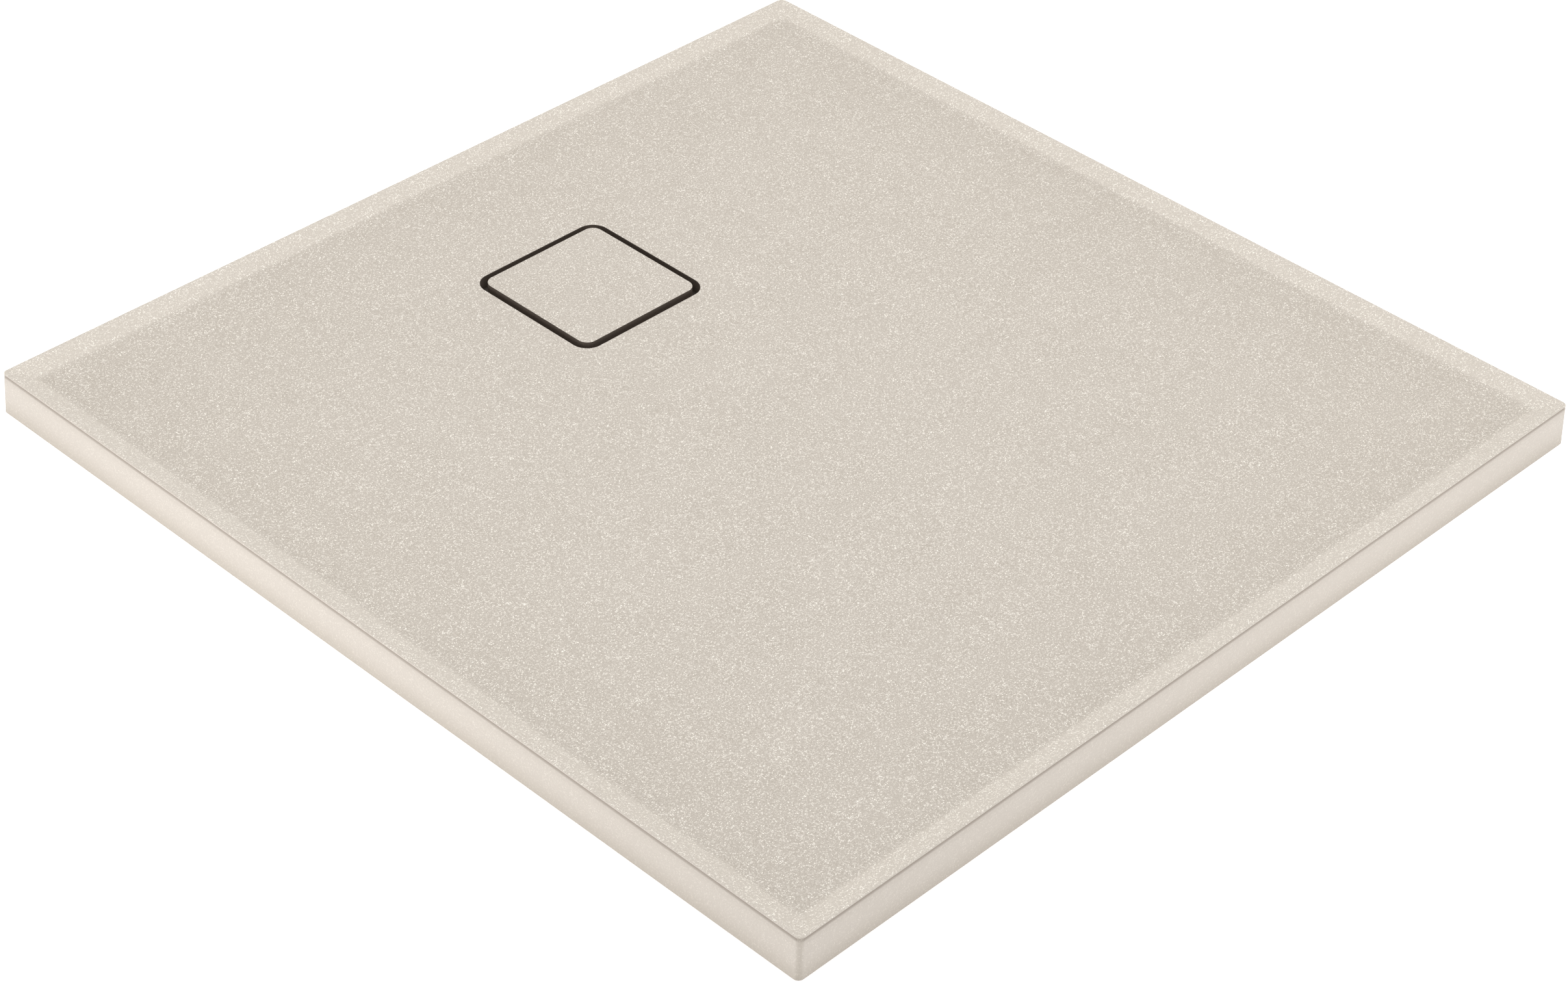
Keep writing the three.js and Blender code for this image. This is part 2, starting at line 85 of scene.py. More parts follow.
class TraySizes(bpy.types.PropertyGroup):
    """Sizes of the cast tray and its cover that the frame's boxes don't give."""
    side_draft: length("Side draft", "How far each side leans in between the underside and the top", 1.5)
    corner_radius: length("Corner radius", "Radius of the four upright corners", 5)
    lip_radius: length("Lip radius", "Round along the outer top edge", 0.6)
    lip_height: length("Lip height", "From the top down to the mould's parting groove", 0.8)
    groove_depth: length("Groove depth", "How far the parting groove is set in under the lip", 1.0)
    groove_height: length("Groove height", "Height over which the groove runs back out to the side", 2.6)
    crest_width: length("Crest width", "From the outer top edge to the start of the rim's slope", 4)
    rim_width: length("Rim width", "From the outer top edge to the start of the floor", 22.5)
    rim_fall: length("Rim fall", "Drop of the rim from its crest to the floor", 6)
    rim_blend: length("Rim blend", "Half the width of the soft turn from the rim into the floor", 3.5)
    floor_fall: length("Floor fall", "Drop of the floor from the rim to the drain recess", 10)
    slot_width: length("Slot width", "Open slot between the cover and the recess", 6.5)
    edge_break: length("Edge break", "Round on the edges of the recess, the seat and the underside", 0.25)
    cover_radius: length("Cover corner radius", "Radius of the cover's upright corners", 9.5)
    recess_radius: length("Recess corner radius", "Radius of the recess's upright corners", 15.5)
    cover_step: length("Cover step", "How far the cover's top stands above the floor beside it", 1.2)
    waste_hole_radius: length("Waste hole radius", "Hole through the tray under the drain", 45)
    seat_depth: length("Seat depth", "How deep the waste flange is let into the recess's floor", 3.7)
    corner_steps: IntProperty(
        name="Corner steps", description="Faces round each upright corner", default=13, min=3)


class FinishColours(bpy.types.PropertyGroup):
    """Colours of the finishes, as sRGB."""
    skin: tint("Composite", "Ground colour of the cast composite", "#beb6ac")
    fleck: tint("Fleck", "Pale mineral flecks in the composite", "#fffaf0")
    # Binder between the grains; the same colour is also painted shade in the corners, at the sides' foot
    # and on the floor towards the rim.
    shade: tint("Shade", "Binder between the grains", "#a89f93")
    # Painted sheen: this paler colour brightens the rim's slope.
    rim: tint("Rim", "Ground colour of the polished rim", "#cfc7bc")
    side: tint("Side", "Ground colour of the upright sides", "#bbb3aa")
    # Painted shadow: this colour darkens the parting groove and a band of the side under the lip.
    groove: tint("Groove", "Trace along the mould's parting groove", "#8f8479")
    # Painted shade: this dark colour stands in for the shade in the slot round the cover.
    core: tint("Core", "Unfinished composite inside the recess", "#695c51")
    plastic: tint("Plastic", "Moulded polypropylene of the waste", "#e4e2dc")
    rubber: tint("Rubber", "Pads, gaskets and seals", "#1f1f1f")
    steel: tint("Steel", "Strainer and screws", "#c4c4c1")
    nylon: tint("Nylon", "Washer in the outlet", "#efeee8")


class StageSettings(bpy.types.PropertyGroup):
    """The camera's place and lens."""
    lens: FloatProperty(
        name="Lens", description="Focal length on a 36 mm sensor, in millimetres", default=83.39)
    azimuth: turn("Azimuth", "Where the camera stands round the tray, from -Y", -47.0)
    elevation: turn("Elevation", "Height of the camera above the horizon", 37.22)
    roll: turn("Roll", "Turn of the camera about its own axis", 2.34)
    distance: length("Distance", "From the camera to the plane through the tray's origin", 2961.17)
    aside: length("Aside", "How far the camera is moved to its right", -3.26)
    raised: length("Raised", "How far the camera is moved up in its own plane", -53.22)


# ---- Selecting and shaping ----

def select_only(*pieces):
    """Selects these pieces and nothing else, and makes the first one active."""
    bpy.ops.object.select_all(action="DESELECT")
    for piece in pieces:
        piece.select_set(True)
    bpy.context.view_layer.objects.active = pieces[0]


def start_piece(name, add, **settings):
    """Adds a primitive to shape, with nothing else selected, and opens it in edit mode."""
    bpy.ops.object.select_all(action="DESELECT")
    add(**settings)
    piece = bpy.context.object
    piece.name = piece.data.name = name
    bpy.ops.object.transform_apply(location=True, rotation=True, scale=True)
    bpy.ops.object.mode_set(mode="EDIT")
    bpy.ops.mesh.select_mode(type="VERT")
    bpy.ops.mesh.select_all(action="SELECT")
    return piece


def select_where(kind, test):
    """Selects those vertices, edges or faces of the piece in edit mode that pass the test."""
    bpy.ops.mesh.select_mode(type={"verts": "VERT", "edges": "EDGE", "faces": "FACE"}[kind])
    bpy.ops.mesh.select_all(action="DESELECT")
    mesh = bpy.context.object.data
    shape = bmesh.from_edit_mesh(mesh)
    chosen = [element for element in getattr(shape, kind) if test(element)]
    if not chosen:
        raise RuntimeError(f"{bpy.context.object.name}: no {kind} were found to select")
    for element in chosen:
        element.select_set(True)
    shape.select_flush_mode()
    bmesh.update_edit_mesh(mesh)


def raise_face(up, scale=(1, 1), centre=(0, 0)):
    """Extrudes what is selected upwards, then resizes it about a centre."""
    bpy.ops.mesh.extrude_region_move(TRANSFORM_OT_translate={"value": (0, 0, up)})
    bpy.ops.transform.resize(value=(scale[0], scale[1], 1), center_override=(centre[0], centre[1], 0))


def close_up():
    """Merges doubles and turns all faces outwards, in edit mode, then leaves it."""
    bpy.ops.mesh.select_all(action="SELECT")
    bpy.ops.mesh.remove_doubles(threshold=1e-6)
    bpy.ops.mesh.normals_make_consistent(inside=False)
    bpy.ops.object.mode_set(mode="OBJECT")


def apply_modifier(piece, kind, **settings):
    """Adds a modifier with its settings and applies it."""
    select_only(piece)
    modifier = piece.modifiers.new(kind.title(), kind)
    for name, value in settings.items():
        setattr(modifier, name, value)
    bpy.ops.object.modifier_apply(modifier=modifier.name)


def smooth_piece(piece):
    """Shades smooth, with flat faces kept flat by weighting the normals."""
    select_only(piece)
    bpy.ops.object.shade_smooth_by_angle(angle=math.radians(35))
    apply_modifier(piece, "WEIGHTED_NORMAL", weight=100, keep_sharp=True)


def combine(piece, tool, operation="DIFFERENCE"):
    """Subtracts the tool's shape from a piece, or adds it, and removes the tool."""
    apply_modifier(piece, "BOOLEAN", operation=operation, solver="EXACT", object=tool)
    bpy.data.objects.remove(tool)
    bpy.ops.object.mode_set(mode="EDIT")
    bpy.ops.mesh.select_all(action="SELECT")
    bpy.ops.mesh.remove_doubles(threshold=0.005 * MM)
    bpy.ops.mesh.dissolve_degenerate(threshold=0.005 * MM)
    bpy.ops.object.mode_set(mode="OBJECT")


def set_down(piece, place, turn=0.0):
    """Turns a piece about X and moves it to its place, with its object left at the origin."""
    select_only(piece)
    piece.rotation_euler.x = turn
    piece.location = place
    bpy.ops.object.transform_apply(location=True, rotation=True, scale=True)


def copy_to(piece, name, place):
    """Copies a piece with its own mesh and sets the copy down."""
    select_only(piece)
    bpy.ops.object.duplicate(linked=False)
    copy = bpy.context.object
    copy.name = copy.data.name = name
    set_down(copy, place)
    return copy


def copies_joined(piece, places):
    """Copies a piece to each place, joins the copies and removes the first one."""
    copies = [copy_to(piece, "copy", place) for place in places]
    bpy.data.objects.remove(piece)
    select_only(*copies)
    bpy.ops.object.join()
    return copies[0]


def soften_profile(points, radius, steps=3):
    """Rounds the corners of a profile of (radius, height) points; a closed one ends where it starts."""
    closed = points[0] == points[-1]
    corners = [Vector(point) for point in (points[:-1] if closed else points)]
    soft = []
    for i, here in enumerate(corners):
        if not closed and i in (0, len(corners) - 1):
            soft.append(here)
            continue
        before, after = corners[i - 1], corners[(i + 1) % len(corners)]
        cut = min(radius, 0.45 * (before - here).length, 0.45 * (after - here).length)
        start = here + (before - here).normalized() * cut
        end = here + (after - here).normalized() * cut
        for step in range(steps + 1):
            t = step / steps
            soft.append((1 - t) ** 2 * start + 2 * t * (1 - t) * here + t ** 2 * end)
    return soft + soft[:1] if closed else soft


def turn_piece(name, profile, steps=96, soften=0.4):
    """Draws a profile of (radius, height) points in millimetres edge by edge and spins it about Z."""
    profile = [Vector((r * MM, 0, z * MM)) for r, z in soften_profile(profile, soften)]
    piece = start_piece(name, bpy.ops.mesh.primitive_plane_add, size=1 * MM)
    bpy.ops.mesh.merge(type="CENTER")
    bpy.ops.transform.translate(value=profile[0])
    for here, there in zip(profile, profile[1:]):
        bpy.ops.mesh.extrude_region_move(TRANSFORM_OT_translate={"value": there - here})
    bpy.ops.mesh.select_all(action="SELECT")
    bpy.ops.mesh.remove_doubles(threshold=1e-6)
    bpy.ops.mesh.spin(steps=steps, angle=2 * math.pi, center=(0, 0, 0), axis=(0, 0, 1))
    close_up()
    return piece


def block(name, low, high, soften=0.4):
    """A block between two corners in millimetres, with its edges rounded."""
    low, high = Vector(low) * MM, Vector(high) * MM
    piece = start_piece(name, bpy.ops.mesh.primitive_cube_add, size=1)
    bpy.ops.transform.resize(value=high - low, center_override=(0, 0, 0))
    bpy.ops.transform.translate(value=(low + high) / 2)
    bpy.ops.mesh.bevel(offset=soften * MM, segments=2, affect="EDGES")
    close_up()
    return piece


def thread_profile(radius, depth, pitch, low, high):
    """The zigzag of a thread going up, drawn as rings."""
    count = int((high - low) / pitch)
    step = (high - low) / count
    return [(radius - depth * (half % 2), low + half * step / 2) for half in range(2 * count + 1)]


def reach(node):
    """Lowest height, highest height and half width along X of a CAD node, in millimetres."""
    low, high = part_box(node)
    return low.z / MM, high.z / MM, (high.x - low.x) / 2 / MM


def middle(node):
    """The centre of a CAD node, at height 0."""
    low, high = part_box(node)
    return Vector(((low.x + high.x) / 2, (low.y + high.y) / 2, 0))


def around(count, radius):
    """Places in metres spread evenly round the drain's axis, radius in millimetres."""
    angles = [i / count * 2 * math.pi for i in range(count)]
    return [Vector((radius * MM * math.cos(a), radius * MM * math.sin(a), 0)) for a in angles]


def hand_over(piece, material, body, node):
    """Gives a finished piece its material and its place in the frame."""
    piece.data.materials.clear()
    piece.data.materials.append(material)
    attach(piece, body)
    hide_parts(node)


def install(piece, maker, body, slot, node, place=DRAIN, turn=0.0):
    """Smooths a piece that was shaped about the origin, sets it down and hands it over."""
    smooth_piece(piece)
    set_down(piece, place, turn)
    hand_over(piece, finish(maker), body, node)


# ---- Materials ----

def linear(colour):
    """An sRGB colour turned to linear, with an alpha of 1."""
    return tuple(c / 12.92 if c <= 0.04045 else ((c + 0.055) / 1.055) ** 2.4 for c in colour) + (1,)


def toned(colour, factor):
    """A linear colour made darker or lighter."""
    return tuple(factor * c for c in colour[:3]) + (1,)


def add_node(tree, kind, inputs=(), output=None, **settings):
    """Adds a node with its settings, fills its inputs and gives the socket of one output.

    The inputs are named, or in the node's own order. Each is a value or another node's socket.
    The output is the first one in use, unless it is named.
    """
    node = tree.nodes.new("ShaderNode" + kind)
    for name, value in settings.items():
        setattr(node, name, value)
    sockets = [socket for socket in node.inputs if socket.enabled]
    if isinstance(inputs, dict):
        sockets = [node.inputs[name] for name in inputs]
        inputs = inputs.values()
    for socket, value in zip(sockets, inputs):
        if isinstance(value, bpy.types.NodeSocket):
            tree.links.new(value, socket)
        else:
            socket.default_value = value
    if output:
        return node.outputs[output]
    return next((socket for socket in node.outputs if socket.enabled), None)


def new_material(name):
    """An empty material, its node tree and the object's own coordinates."""
    material = bpy.data.materials.new(name)
    material.use_nodes = True
    tree = material.node_tree
    tree.nodes.clear()
    return material, tree, add_node(tree, "TexCoord", output="Object")


def end_material(tree, inputs, height=None, strength=0.0, depth_mm=0.0):
    """Gives a material its shader, over a relief that is depth_mm deep, and its output."""
    if height is not None:
        relief = {"Height": height, "Strength": strength, "Distance": depth_mm * MM}
        inputs = {**inputs, "Normal": add_node(tree, "Bump", relief)}
    add_node(tree, "OutputMaterial", [add_node(tree, "BsdfPrincipled", inputs)])


def granite_composite(colours):
    """Granite composite, cast against a satin mould: quartz grains in a beige binder.

    It gives the eye a warm matt ground, crowded with fine curly pale flecks and brighter points.
    A painted sheen brightens the rim's slope. The upright sides are calmer, because they lay against
    the mould's steel walls, and darken with painted shade at the foot and in the corners. Painted
    shadow darkens the parting groove under the lip, and painted shade darkens the floor a little
    towards the rim.
    """
    material, tree, place = new_material("granite_composite_cast")
    sizes = bpy.context.scene.shower_sizes
    at = add_node(tree, "SeparateXYZ", [place]).node.outputs
    facing = add_node(tree, "SeparateXYZ", [add_node(tree, "NewGeometry", output="Normal")]).node.outputs
    turned = add_node(tree, "Math", [facing["X"], facing["Y"]], operation="MULTIPLY")
    sideways = [add_node(tree, "Math", [at[axis]], operation="ABSOLUTE") for axis in "XY"]

    # Where on the piece: each is a value, then where it starts and where it is full.
    floor_edge = TRAY_HIGH.z - sizes.rim_fall
    rim_foot = TRAY_HIGH.x - sizes.rim_width
    lip_foot = TRAY_HIGH.z - sizes.lip_height
    # Of these masks, those for the corners, the floor towards the rim and the sides' foot place painted
    # shade, the rim's mask places a painted sheen, and the last two place painted shade under the lip and
    # painted shadow in the groove.
    upright, corner, rim, outskirts_shade, foot, under_lip, shade_under_lip, groove_shadow = [
        add_node(tree, "MapRange", limits, interpolation_type="SMOOTHSTEP") for limits in (
            (facing["Z"], 0.75, 0.35),
            (add_node(tree, "Math", [turned], operation="ABSOLUTE"), 0.1, 0.5),
            (at["Z"], floor_edge + 0.1 * MM, floor_edge + 1.6 * MM),
            (add_node(tree, "Math", sideways, operation="MAXIMUM"), 0.6 * rim_foot, rim_foot),
            (at["Z"], TRAY_HIGH.z / 2, 0),
            (at["Z"], lip_foot + 0.2 * MM, lip_foot - 0.2 * MM),
            (at["Z"], lip_foot - 10 * MM, lip_foot - 1.0 * MM),
            (at["Z"], lip_foot - 1.5 * sizes.groove_height, lip_foot - 0.4 * sizes.groove_height),
        )]
    foot, under_lip = [
        add_node(tree, "Math", [band, upright], operation="MULTIPLY") for band in (foot, under_lip)]

    # Noises, by the size of their lumps in millimetres, detail and distortion.
    curls, breaks, crowding, grit, haze = [
        add_node(tree, "TexNoise", {
            "Vector": place, "Scale": 1 / (size * MM), "Detail": detail, "Distortion": distortion})
        for size, detail, distortion in (
            (1.15, 1, 0.5),
            (1.8, 1, 0),
            (9, 2, 0),
            (0.9, 1, 0),
            (55, 3, 0),
        )]
    cells = add_node(tree, "TexVoronoi", {"Vector": place, "Scale": 1 / (1.7 * MM), "Randomness": 1.0})
    tint_of_cell = add_node(tree, "SeparateColor", [cells.node.outputs["Color"]], output="Red")
    from_contour = add_node(
        tree, "Math", [add_node(tree, "Math", [curls, 0.5], operation="SUBTRACT")], operation="ABSOLUTE")

    # Flecks are broken contour lines of the curls, and points in one in three of the cells. The
    # ground is binder and grain a millimetre apart, with a faint cloudiness over centimetres.
    line, broken, near, chosen, crowd, grain, cloud = [
        add_node(tree, "MapRange", limits, interpolation_type="SMOOTHSTEP") for limits in (
            (from_contour, 0.05, 0.01, 0, 0.8),
            (breaks, 0.48, 0.6),
            (cells, 0.30, 0.14),
            (tint_of_cell, 0.62, 0.8),
            (crowding, 0.2, 0.75, 0.55, 1.15),
            (grit, 0.3, 0.7),
            (haze, 0.35, 0.65),
        )]
    curly = add_node(tree, "Math", [line, broken], operation="MULTIPLY")
    point = add_node(tree, "Math", [near, chosen], operation="MULTIPLY")
    flecks = add_node(tree, "Math", [curly, point], operation="MAXIMUM")
    flecks = add_node(tree, "Math", [flecks, crowd], operation="MULTIPLY")
    calm = add_node(tree, "MapRange", [upright, 0, 1, 1, 0.25])

    # Coats in order, each with the mask that it shows through, its strength and its colour. The
    # last two are painted shade in a band under the lip and painted shadow in the mould's parting groove.
    coats = (
        ((grain,), 1, colours.skin),
        ((cloud,), 0.15, colours.skin),
        # Painted shade: the floor darkens towards the rim's foot.
        ((outskirts_shade,), 0.2, colours.shade),
        # Painted sheen on the rim's slope.
        ((rim,), 0.36, colours.rim),
        ((upright,), 0.8, colours.side),
        # Painted shade in the rounded upright corners.
        ((corner,), 0.45, colours.shade),
        # Painted shade: the sides darken towards their foot.
        ((foot,), 0.5, colours.shade),
        ((flecks, calm), 1, colours.fleck),
        # Painted shade in a band under the lip, then painted shadow in the parting groove.
        ((shade_under_lip, under_lip), 0.22, colours.groove),
        ((groove_shadow, under_lip), 0.95, colours.groove),
    )
    surface = linear(colours.shade)
    for masks, strength, coat in coats:
        amount = strength
        for mask in masks:
            amount = add_node(tree, "Math", [mask, amount], operation="MULTIPLY")
        surface = add_node(tree, "Mix", [amount, surface, linear(coat)], data_type="RGBA")

    relief = add_node(tree, "Math", [grain, flecks], operation="ADD")
    end_material(tree, {"Base Color": surface, "Roughness": 0.55, "IOR": 1.5}, relief, 0.12, 0.05)
    return material


def slot_painted_shade(colours):
    """Painted shade for the recess and the cover's sides, which lie in shade round the slot.

    It gives the eye a dark brown rough surface without the pale skin, darkest on the level floor
    and along the edges at the mouth, where more shade is painted.
    """
    material, tree, place = new_material("granite_composite_core")
    upwards, height = [
        add_node(tree, "SeparateXYZ", [source], output="Z")
        for source in (add_node(tree, "NewGeometry", output="Normal"), place)]
    grit = add_node(tree, "TexNoise", {"Vector": place, "Scale": 1 / (1.2 * MM), "Detail": 3})
    level, shade_at_mouth, light = [
        add_node(tree, "MapRange", limits, interpolation_type="SMOOTHSTEP") for limits in (
            (upwards, 0.3, 0.9, 0, 0.85),
            (height, COVER_LOW.z, COVER_HIGH.z, 0, 0.6),
            (grit, 0.35, 0.7),
        )]
    # The dark colour is painted shade standing in for the shade in the slot.
    core = linear(colours.core)
    surface = add_node(tree, "Mix", [light, core, toned(core, 1.3)], data_type="RGBA")
    # Painted shade: darker still on the level floor and towards the mouth.
    dark = add_node(tree, "Math", [level, shade_at_mouth], operation="MAXIMUM")
    surface = add_node(tree, "Mix", [dark, surface, toned(core, 0.3)], data_type="RGBA")
    end_material(tree, {"Base Color": surface, "Roughness": 0.85}, grit, 0.3, 0.2)
    return material


def moulded_polypropylene(colours):
    """Polypropylene, injection moulded in a fine-eroded steel mould.

    It gives the eye a milky off-white with a soft sheen, faint flow clouds and an even fine grain.
    """
    material, tree, place = new_material("polypropylene_moulded")
    clouds = add_node(
        tree, "TexNoise", {"Vector": place, "Scale": 1 / (14 * MM), "Detail": 3, "Distortion": 0.8})
    flow = add_node(tree, "MapRange", [clouds, 0.3, 0.7], interpolation_type="SMOOTHSTEP")
    plastic = linear(colours.plastic)
    surface = add_node(tree, "Mix", [flow, toned(plastic, 0.96), plastic], data_type="RGBA")
    sheen = add_node(tree, "MapRange", [flow, 0, 1, 0.36, 0.46])
    grain = add_node(tree, "TexNoise", {"Vector": place, "Scale": 1 / (0.5 * MM), "Detail": 1})
    end_material(tree, {"Base Color": surface, "Roughness": sheen, "IOR": 1.49}, grain, 0.15, 0.05)
    return material


def moulded_rubber(colours):
    """EPDM rubber, compression moulded: near black, matt, with a faint grey bloom in patches."""
    material, tree, place = new_material("epdm_rubber_moulded")
    patches = add_node(tree, "TexNoise", {"Vector": place, "Scale": 1 / (5 * MM), "Detail": 4})
    bloom = add_node(tree, "MapRange", [patches, 0.45, 0.8], interpolation_type="SMOOTHSTEP")
    rubber = linear(colours.rubber)
    surface = add_node(tree, "Mix", [bloom, rubber, toned(rubber, 2.2)], data_type="RGBA")
    grain = add_node(tree, "TexNoise", {"Vector": place, "Scale": 1 / (0.3 * MM), "Detail": 2})
    end_material(tree, {"Base Color": surface, "Roughness": 0.7}, grain, 0.25, 0.05)
    return material


def brushed_stainless(colours):
    """Stainless steel sheet, brushed along X before it was pressed.

    It gives the eye a cool grey with fine streaks that stretch the highlights across them.
    """
    material, tree, place = new_material("stainless_steel_brushed")
    along = add_node(tree, "Mapping", {"Vector": place, "Scale": (0.02, 1, 1)})
    streaks = add_node(tree, "TexNoise", {"Vector": along, "Scale": 1 / (0.35 * MM), "Detail": 3})
    bright = add_node(tree, "MapRange", [streaks, 0.3, 0.7], interpolation_type="SMOOTHSTEP")
    steel = linear(colours.steel)
    surface = add_node(tree, "Mix", [bright, toned(steel, 0.82), steel], data_type="RGBA")
    gloss = add_node(tree, "MapRange", [streaks, 0, 1, 0.22, 0.42])
    end_material(tree, {"Base Color": surface, "Metallic": 1.0, "Roughness": gloss}, streaks, 0.2, 0.02)
    return material


def moulded_nylon(colours):
    """Nylon, injection moulded: white and slightly translucent to the eye, with a satin skin."""
    material, tree, place = new_material("nylon_moulded")
    patches = add_node(tree, "TexNoise", {"Vector": place, "Scale": 1 / (6 * MM), "Detail": 2})
    cloud = add_node(tree, "MapRange", [patches, 0.3, 0.7], interpolation_type="SMOOTHSTEP")
    nylon = linear(colours.nylon)
    warmer = (0.95 * nylon[0], 0.93 * nylon[1], 0.88 * nylon[2], 1)
    surface = add_node(tree, "Mix", [cloud, warmer, nylon], data_type="RGBA")
    grain = add_node(tree, "TexNoise", {"Vector": place, "Scale": 1 / (0.4 * MM), "Detail": 1})
    end_material(tree, {"Base Color": surface, "Roughness": 0.4, "IOR": 1.53}, grain, 0.1, 0.03)
    return material


FINISHES = {}


def finish(maker):
    """The material that a maker gives, made once and shared by all pieces with that finish."""
    if maker not in FINISHES:
        FINISHES[maker] = maker(bpy.context.scene.shower_colours)
    return FINISHES[maker]


# ---- Operators: the stage ----

def add_area_light(name, place, target, size, power):
    """A square soft light that faces a target."""
    bpy.ops.object.light_add(type="AREA", location=place)
    light = bpy.context.object
    light.name = name
    light.data.size = size
    light.data.energy = power
    light.rotation_euler = (Vector(target) - Vector(place)).to_track_quat("-Z", "Y").to_euler()


class SHOWERTRAY_OT_stage(bpy.types.Operator):
    """Set up the camera, the pale floor and the soft studio light"""
    bl_idname = "showertray.stage"
    bl_label = "Studio Stage"

    def execute(self, context):
        stage = context.scene.shower_stage
        self.add_camera(context, stage)
        self.add_floor()
        self.add_light(context)
        return {"FINISHED"}

    @staticmethod
    def add_camera(context, stage):
        azimuth, elevation = stage.azimuth, stage.elevation
        back = Vector((
            math.sin(azimuth) * math.cos(elevation),
            -math.cos(azimuth) * math.cos(elevation),
            math.sin(elevation)))
        level_right = Vector((0, 0, 1)).cross(back).normalized()
        roll = Matrix.Rotation(stage.roll, 3, back)
        right = roll @ level_right
        up = back.cross(right)
        place = back * stage.distance + right * stage.aside + up * stage.raised
        bpy.ops.object.camera_add()
        camera = context.object
        camera.name = "studio_camera"
        camera.matrix_world = Matrix.Translation(place) @ Matrix((right, up, back)).transposed().to_4x4()
        camera.data.lens = stage.lens
        camera.data.sensor_width = 36
        camera.data.clip_end = 50
        context.scene.camera = camera
        context.scene.view_settings.view_transform = "Standard"

    @staticmethod
    def add_floor():
        """A wide floor with a pit for the trap, wholly under the tray."""
        pit_half, pit_depth, spread = 0.15, 0.12, 80
        floor = start_piece("studio_floor", bpy.ops.mesh.primitive_plane_add, size=2 * pit_half,
                            location=(DRAIN.x, DRAIN.y, 0))
        select_where("edges", lambda edge: True)
        bpy.ops.mesh.extrude_edges_move()
        bpy.ops.transform.resize(value=(spread, spread, 1), center_override=(DRAIN.x, DRAIN.y, 0))
        select_where("faces", lambda face: face.calc_area() < 5 * pit_half ** 2)
        bpy.ops.mesh.extrude_region_move(TRANSFORM_OT_translate={"value": (0, 0, -pit_depth)})
        bpy.ops.object.mode_set(mode="OBJECT")
        material, tree, place = new_material("paper_sweep")
        fibres = add_node(tree, "TexNoise", {"Vector": place, "Scale": 1 / (40 * MM), "Detail": 4})
        mottle = add_node(tree, "MapRange", [fibres, 0.2, 0.8], interpolation_type="SMOOTHSTEP")
        greys = (0.86, 0.86, 0.86, 1), (0.9, 0.9, 0.9, 1)
        end_material(tree, {
            "Base Color": add_node(tree, "Mix", [mottle, *greys], data_type="RGBA"),
            "Roughness": 0.9, "Emission Color": (1, 1, 1, 1), "Emission Strength": 0.45})
        floor.data.materials.append(material)

    @staticmethod
    def add_light(context):
        """A white room, brightest near the horizon, with one bank overhead and two low ones."""
        world = bpy.data.worlds.new("soft_white_room")
        world.use_nodes = True
        tree = world.node_tree
        direction = add_node(tree, "TexCoord", output="Generated")
        strength = add_node(tree, "SeparateXYZ", [direction], output="Z")
        lowness = ("ABSOLUTE", []), ("MULTIPLY_ADD", [-1, 1]), ("POWER", [4])
        for operation, numbers in (*lowness, ("MULTIPLY_ADD", [1.3, 0.58])):
            strength = add_node(tree, "Math", [strength, *numbers], operation=operation)
        tree.links.new(strength, tree.nodes["Background"].inputs["Strength"])
        tree.nodes["Background"].inputs["Color"].default_value = (1, 1, 1, 1)
        context.scene.world = world
        add_area_light("overhead_bank", (0.8, 0.6, 2.8), (0, 0, 0), 2.6, 63)
        add_area_light("low_left_bank", (-1.25, 0.2, 0.3), (-0.45, 0.15, 0.02), 0.5, 3.5)
        add_area_light("low_right_bank", (0.3, -1.25, 0.35), (0.2, -0.45, 0.02), 0.5, 2.0)


# ---- Operators: the pieces ----

def add_rounded_face(size, radius, steps, centre, z, name=None):
    """A level square face with rounded corners: a new piece, or unnamed in the piece being edited."""
    place = (centre.x, centre.y, z)
    if name:
        piece = start_piece(name, bpy.ops.mesh.primitive_plane_add, size=size, location=place)
    else:
        bpy.ops.mesh.select_all(action="DESELECT")
        bpy.ops.mesh.primitive_plane_add(size=size, location=place)
        piece = bpy.context.object
    bpy.ops.mesh.bevel(offset=radius, segments=steps, affect="VERTICES")
    return piece


